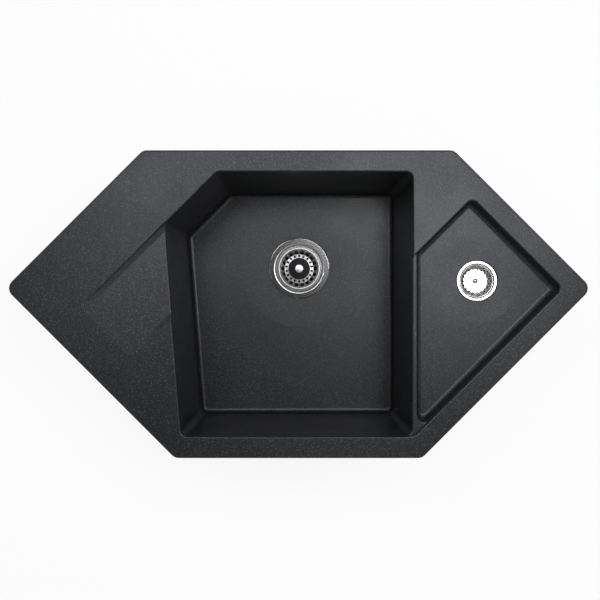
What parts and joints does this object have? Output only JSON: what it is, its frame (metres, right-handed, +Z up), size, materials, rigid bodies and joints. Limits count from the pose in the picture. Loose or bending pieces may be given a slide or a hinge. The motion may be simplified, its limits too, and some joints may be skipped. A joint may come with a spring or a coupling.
{
  "type": "kitchen sink",
  "caption": "Corner kitchen sink in dark stone composite: deep bowl, shallow side bowl, lowered divider, sunken drainboard, basket strainer wastes and worktop clips.",
  "frame": {"origin": "middle of the front edge, at the height of the worktop that the rim stands on", "axes": "+X runs to the right along the front edge, +Y to the back, +Z up"},
  "size_m": [0.94, 0.5, 0.289],
  "materials": {
    "composite": "matte quartz composite with a fine speckle",
    "foam_tape": "closed-cell foam",
    "pressed_steel": "polished pressing",
    "basket_steel": "polished pressing",
    "turned_steel": "turned",
    "knob_chrome": "polished",
    "seal_rubber": "moulded",
    "waste_plastic": "white moulded polypropylene",
    "clip_zinc": "zinc plated",
    "insert_brass": "machined"
  },
  "bodies": {
    "sink": {"sink_body": "composite", "rim_seal": "foam_tape", "main_dish": "pressed_steel", "main_flange_seal": "seal_rubber", "main_gasket": "seal_rubber", "main_waste_body": "waste_plastic", "main_fixing_bolt": "turned_steel", "small_dish": "pressed_steel", "small_flange_seal": "seal_rubber", "small_gasket": "seal_rubber", "small_waste_body": "waste_plastic", "small_fixing_bolt": "turned_steel", "clip_screws": "clip_zinc", "clip_inserts": "insert_brass"},
    "main_plug": {"main_knob": "knob_chrome", "main_stem": "turned_steel", "main_stopper": "seal_rubber"},
    "main_basket": {"main_basket_cup": "basket_steel"},
    "small_plug": {"small_knob": "knob_chrome", "small_stem": "turned_steel", "small_stopper": "seal_rubber"},
    "small_basket": {"small_basket_cup": "basket_steel"},
    "claw_front_left": {"clip_claw_front_left": "clip_zinc"},
    "claw_front_right": {"clip_claw_front_right": "clip_zinc"},
    "claw_back_right": {"clip_claw_back_right": "clip_zinc"},
    "claw_back_left": {"clip_claw_back_left": "clip_zinc"},
    "claw_right_front": {"clip_claw_right_front": "clip_zinc"},
    "claw_right_back": {"clip_claw_right_back": "clip_zinc"},
    "claw_left_back": {"clip_claw_left_back": "clip_zinc"},
    "claw_left_front": {"clip_claw_left_front": "clip_zinc"}
  },
  "joints": [
    {"name": "main_plug_lift", "type": "slide", "parent": "sink", "child": "main_plug", "axis": [0, 0, 1], "range_m": [0, 0.25]},
    {"name": "main_basket_turn", "type": "hinge", "parent": "main_plug", "child": "main_basket", "pos_m": [0.001, 0.3165, -0.2084], "axis": [0, 0, 1], "continuous": true},
    {"name": "small_plug_lift", "type": "slide", "parent": "sink", "child": "small_plug", "axis": [0, 0, 1], "range_m": [0, 0.07]},
    {"name": "small_basket_turn", "type": "hinge", "parent": "small_plug", "child": "small_basket", "pos_m": [0.29624, 0.28842, -0.0328], "axis": [0, 0, 1], "continuous": true},
    {"name": "claw_front_left_swing", "type": "hinge", "parent": "sink", "child": "claw_front_left", "pos_m": [-0.12, 0.021, -0.0425], "axis": [0, 0, 1], "range_deg": [0, 90]},
    {"name": "claw_front_right_swing", "type": "hinge", "parent": "sink", "child": "claw_front_right", "pos_m": [0.12, 0.021, -0.0425], "axis": [0, 0, 1], "range_deg": [0, 90]},
    {"name": "claw_back_right_swing", "type": "hinge", "parent": "sink", "child": "claw_back_right", "pos_m": [0.12, 0.479, -0.0425], "axis": [0, 0, 1], "range_deg": [0, 90]},
    {"name": "claw_back_left_swing", "type": "hinge", "parent": "sink", "child": "claw_back_left", "pos_m": [-0.12, 0.479, -0.0425], "axis": [0, 0, 1], "range_deg": [0, 90]},
    {"name": "claw_right_front_swing", "type": "hinge", "parent": "sink", "child": "claw_right_front", "pos_m": [0.32383, 0.1528, -0.0425], "axis": [0, 0, 1], "range_deg": [0, 90]},
    {"name": "claw_right_back_swing", "type": "hinge", "parent": "sink", "child": "claw_right_back", "pos_m": [0.34973, 0.3731, -0.0425], "axis": [0, 0, 1], "range_deg": [0, 90]},
    {"name": "claw_left_back_swing", "type": "hinge", "parent": "sink", "child": "claw_left_back", "pos_m": [-0.34973, 0.3731, -0.0425], "axis": [0, 0, 1], "range_deg": [0, 90]},
    {"name": "claw_left_front_swing", "type": "hinge", "parent": "sink", "child": "claw_left_front", "pos_m": [-0.32383, 0.1528, -0.0425], "axis": [0, 0, 1], "range_deg": [0, 90]}
  ]
}
